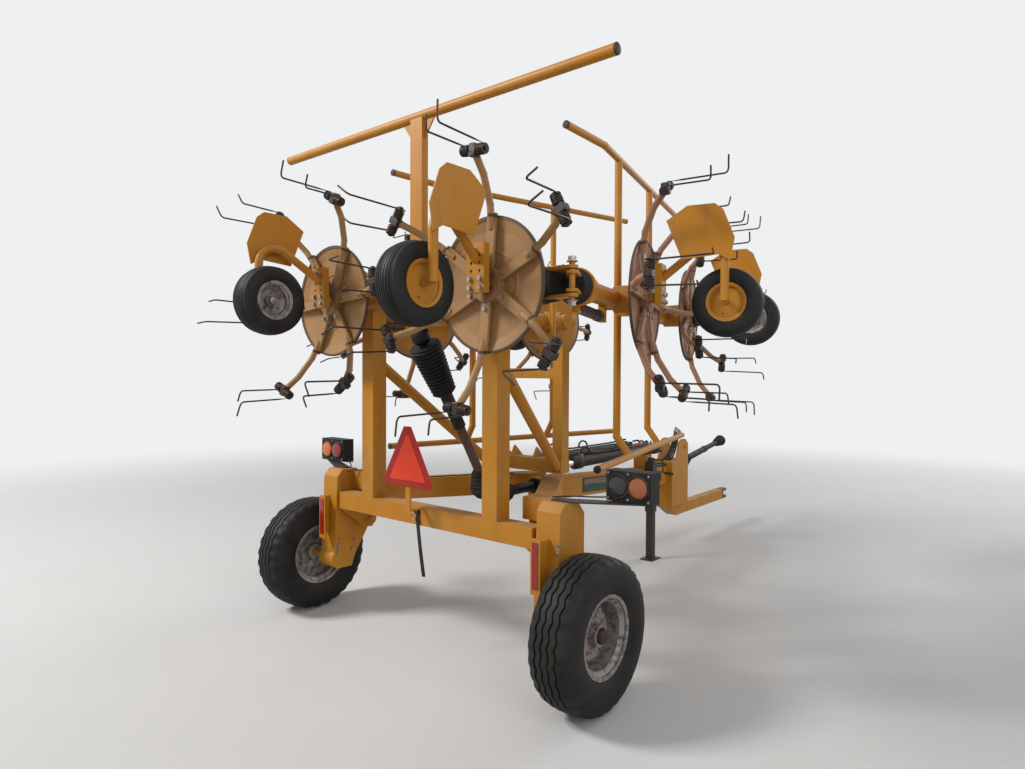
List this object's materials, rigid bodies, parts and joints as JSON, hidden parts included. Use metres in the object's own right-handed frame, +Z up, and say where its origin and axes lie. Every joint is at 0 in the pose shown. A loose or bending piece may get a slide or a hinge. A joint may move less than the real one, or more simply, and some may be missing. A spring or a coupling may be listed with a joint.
{
  "type": "hay tedder",
  "caption": "Trailed hay tedder with tined rotors on folding beams, gauge wheels on gooseneck legs and a two-wheel transport cart with a drawbar.",
  "frame": {"origin": "on the ground, midway between the machine's front and rear ends and on its middle plane", "axes": "+X forwards along the drawbar, +Y to the machine's left, +Z up"},
  "size_m": [5.4674, 3.3699, 3.2189],
  "materials": {
    "yellow_paint": "weathered gloss",
    "dark_steel": "worn satin",
    "tine_steel": "rusty",
    "black_parts": "matte",
    "silver_paint": "worn satin",
    "rod_chrome": "polished",
    "dark_panel": "satin",
    "tyre": "dusty",
    "lamp_lens": "gloss",
    "red_reflector": "gloss",
    "warning_orange": "retroreflective"
  },
  "bodies": {
    "cart": {"cart_frame": "yellow_paint", "drawbar": "yellow_paint", "headstock": "yellow_paint", "hitch_clevis": "dark_steel", "side_panels": "dark_panel", "jack_housing": "dark_steel", "lamp_arms": "dark_steel", "lamps": "black_parts", "lamp_lenses": "lamp_lens", "side_reflectors": "red_reflector", "input_shaft": "black_parts", "pto_shaft": "black_parts"},
    "jack": {"jack_leg": "dark_steel"},
    "wheel_left": {"tyre_left": "tyre", "rim_left": "silver_paint"},
    "wheel_right": {"tyre_right": "tyre", "rim_right": "silver_paint"},
    "shaft_lower": {"tilt_shaft_lower": "dark_steel"},
    "shaft_upper": {"tilt_shaft_upper": "black_parts"},
    "barrels": {"cylinder_barrels": "black_parts"},
    "rods": {"cylinder_rods": "rod_chrome"},
    "lift": {"lift_frame": "yellow_paint", "front_rest": "yellow_paint", "centre_beam": "yellow_paint", "rear_guard": "yellow_paint", "gauge_legs_centre": "yellow_paint", "warning_triangle": "warning_orange", "hanging_strap": "black_parts", "strap_shackle": "dark_steel"},
    "wing_left": {"wing_beam_left": "yellow_paint", "wing_guard_left": "yellow_paint", "gauge_legs_left": "yellow_paint"},
    "wing_right": {"wing_beam_right": "yellow_paint", "wing_guard_right": "yellow_paint", "gauge_legs_right": "yellow_paint"},
    "reel_1": {"rotor_1": "yellow_paint", "tines_1": "tine_steel"},
    "reel_2": {"rotor_2": "yellow_paint", "tines_2": "tine_steel"},
    "reel_3": {"rotor_3": "yellow_paint", "tines_3": "tine_steel"},
    "reel_4": {"rotor_4": "yellow_paint", "tines_4": "tine_steel"},
    "reel_5": {"rotor_5": "yellow_paint", "tines_5": "tine_steel"},
    "reel_6": {"rotor_6": "yellow_paint", "tines_6": "tine_steel"},
    "gauge_wheel_1": {"gauge_tyre_1": "tyre", "gauge_rim_1": "yellow_paint"},
    "gauge_wheel_2": {"gauge_tyre_2": "tyre", "gauge_rim_2": "yellow_paint"},
    "gauge_wheel_3": {"gauge_tyre_3": "tyre", "gauge_rim_3": "yellow_paint"},
    "gauge_wheel_4": {"gauge_tyre_4": "tyre", "gauge_rim_4": "yellow_paint"},
    "gauge_wheel_5": {"gauge_tyre_5": "tyre", "gauge_rim_5": "yellow_paint"},
    "gauge_wheel_6": {"gauge_tyre_6": "tyre", "gauge_rim_6": "yellow_paint"}
  },
  "joints": [
    {"name": "wheel_left_spin", "type": "hinge", "parent": "cart", "child": "wheel_left", "pos_m": [-1.865, 1.18, 0.385], "axis": [0, 1, 0], "continuous": true},
    {"name": "wheel_right_spin", "type": "hinge", "parent": "cart", "child": "wheel_right", "pos_m": [-1.865, -1.18, 0.385], "axis": [0, 1, 0], "continuous": true},
    {"name": "jack_slide", "type": "slide", "parent": "cart", "child": "jack", "axis": [0, 0, 1], "range_m": [0, 0.35]},
    {"name": "lift_tilt", "type": "hinge", "parent": "cart", "child": "lift", "pos_m": [-1.665, 0, 0.64], "axis": [0, -1, 0], "range_deg": [0, 75]},
    {"name": "shaft_tilt", "type": "hinge", "parent": "cart", "child": "shaft_lower", "pos_m": [-1.285, 0, 0.85], "axis": [0, -1, 0], "range_deg": [0, 63.3]},
    {"name": "shaft_slide", "type": "slide", "parent": "shaft_lower", "child": "shaft_upper", "axis": [-0.5181, 0, 0.8553], "range_m": [0, 0.442]},
    {"name": "barrel_swing", "type": "hinge", "parent": "cart", "child": "barrels", "pos_m": [0.835, 0, 1], "axis": [0, -1, 0], "range_deg": [-12.4, 0]},
    {"name": "rod_slide", "type": "slide", "parent": "barrels", "child": "rods", "axis": [-1, 0, 0], "range_m": [0, 0.995]},
    {"name": "wing_fold_right", "type": "hinge", "parent": "lift", "child": "wing_right", "pos_m": [-1.925, -1.1, 2.13], "axis": [0, 0, -1], "range_deg": [0, 104]},
    {"name": "wing_fold_left", "type": "hinge", "parent": "lift", "child": "wing_left", "pos_m": [-1.925, 1.1, 2.13], "axis": [0, 0, 1], "range_deg": [0, 104]},
    {"name": "rotor_1_spin", "type": "hinge", "parent": "lift", "child": "reel_1", "pos_m": [-2.05, 0.674, 2.13], "axis": [1, 0, 0], "continuous": true},
    {"name": "gauge_1_spin", "type": "hinge", "parent": "lift", "child": "gauge_wheel_1", "pos_m": [-2.53, 0.629, 2.09], "axis": [0, 1, 0], "continuous": true},
    {"name": "rotor_2_spin", "type": "hinge", "parent": "lift", "child": "reel_2", "pos_m": [-2.05, -0.674, 2.13], "axis": [1, 0, 0], "continuous": true},
    {"name": "gauge_2_spin", "type": "hinge", "parent": "lift", "child": "gauge_wheel_2", "pos_m": [-2.53, -0.629, 2.09], "axis": [0, 1, 0], "continuous": true},
    {"name": "rotor_3_spin", "type": "hinge", "parent": "wing_right", "child": "reel_3", "pos_m": [-1.00015, -0.99823, 2.13], "axis": [-0.2419, 0.9703, 0], "continuous": true},
    {"name": "gauge_3_spin", "type": "hinge", "parent": "wing_right", "child": "gauge_wheel_3", "pos_m": [-0.84036, -1.45309, 2.09], "axis": [-0.9703, -0.2419, 0], "continuous": true},
    {"name": "rotor_4_spin", "type": "hinge", "parent": "wing_right", "child": "reel_4", "pos_m": [0.30781, -0.67212, 2.13], "axis": [-0.2419, 0.9703, 0], "continuous": true},
    {"name": "gauge_4_spin", "type": "hinge", "parent": "wing_right", "child": "gauge_wheel_4", "pos_m": [0.38027, -1.14875, 2.09], "axis": [-0.9703, -0.2419, 0], "continuous": true},
    {"name": "rotor_5_spin", "type": "hinge", "parent": "wing_left", "child": "reel_5", "pos_m": [-1.00015, 0.99823, 2.13], "axis": [-0.2419, -0.9703, 0], "continuous": true},
    {"name": "gauge_5_spin", "type": "hinge", "parent": "wing_left", "child": "gauge_wheel_5", "pos_m": [-0.84036, 1.45309, 2.09], "axis": [-0.9703, 0.2419, 0], "continuous": true},
    {"name": "rotor_6_spin", "type": "hinge", "parent": "wing_left", "child": "reel_6", "pos_m": [0.30781, 0.67212, 2.13], "axis": [-0.2419, -0.9703, 0], "continuous": true},
    {"name": "gauge_6_spin", "type": "hinge", "parent": "wing_left", "child": "gauge_wheel_6", "pos_m": [0.38027, 1.14875, 2.09], "axis": [-0.9703, 0.2419, 0], "continuous": true}
  ],
  "couplings": [
    {"joint": "shaft_tilt", "follows": "lift_tilt", "ratio": 0.84297},
    {"joint": "shaft_slide", "follows": "lift_tilt", "m_per_rad": 0.33699},
    {"joint": "barrel_swing", "follows": "lift_tilt", "ratio": -0.16367},
    {"joint": "rod_slide", "follows": "lift_tilt", "m_per_rad": 0.75982},
    {"joint": "rotor_2_spin", "follows": "rotor_1_spin", "ratio": -1},
    {"joint": "rotor_3_spin", "follows": "rotor_1_spin", "ratio": 1},
    {"joint": "rotor_4_spin", "follows": "rotor_1_spin", "ratio": -1},
    {"joint": "rotor_5_spin", "follows": "rotor_1_spin", "ratio": -1},
    {"joint": "rotor_6_spin", "follows": "rotor_1_spin", "ratio": 1}
  ]
}
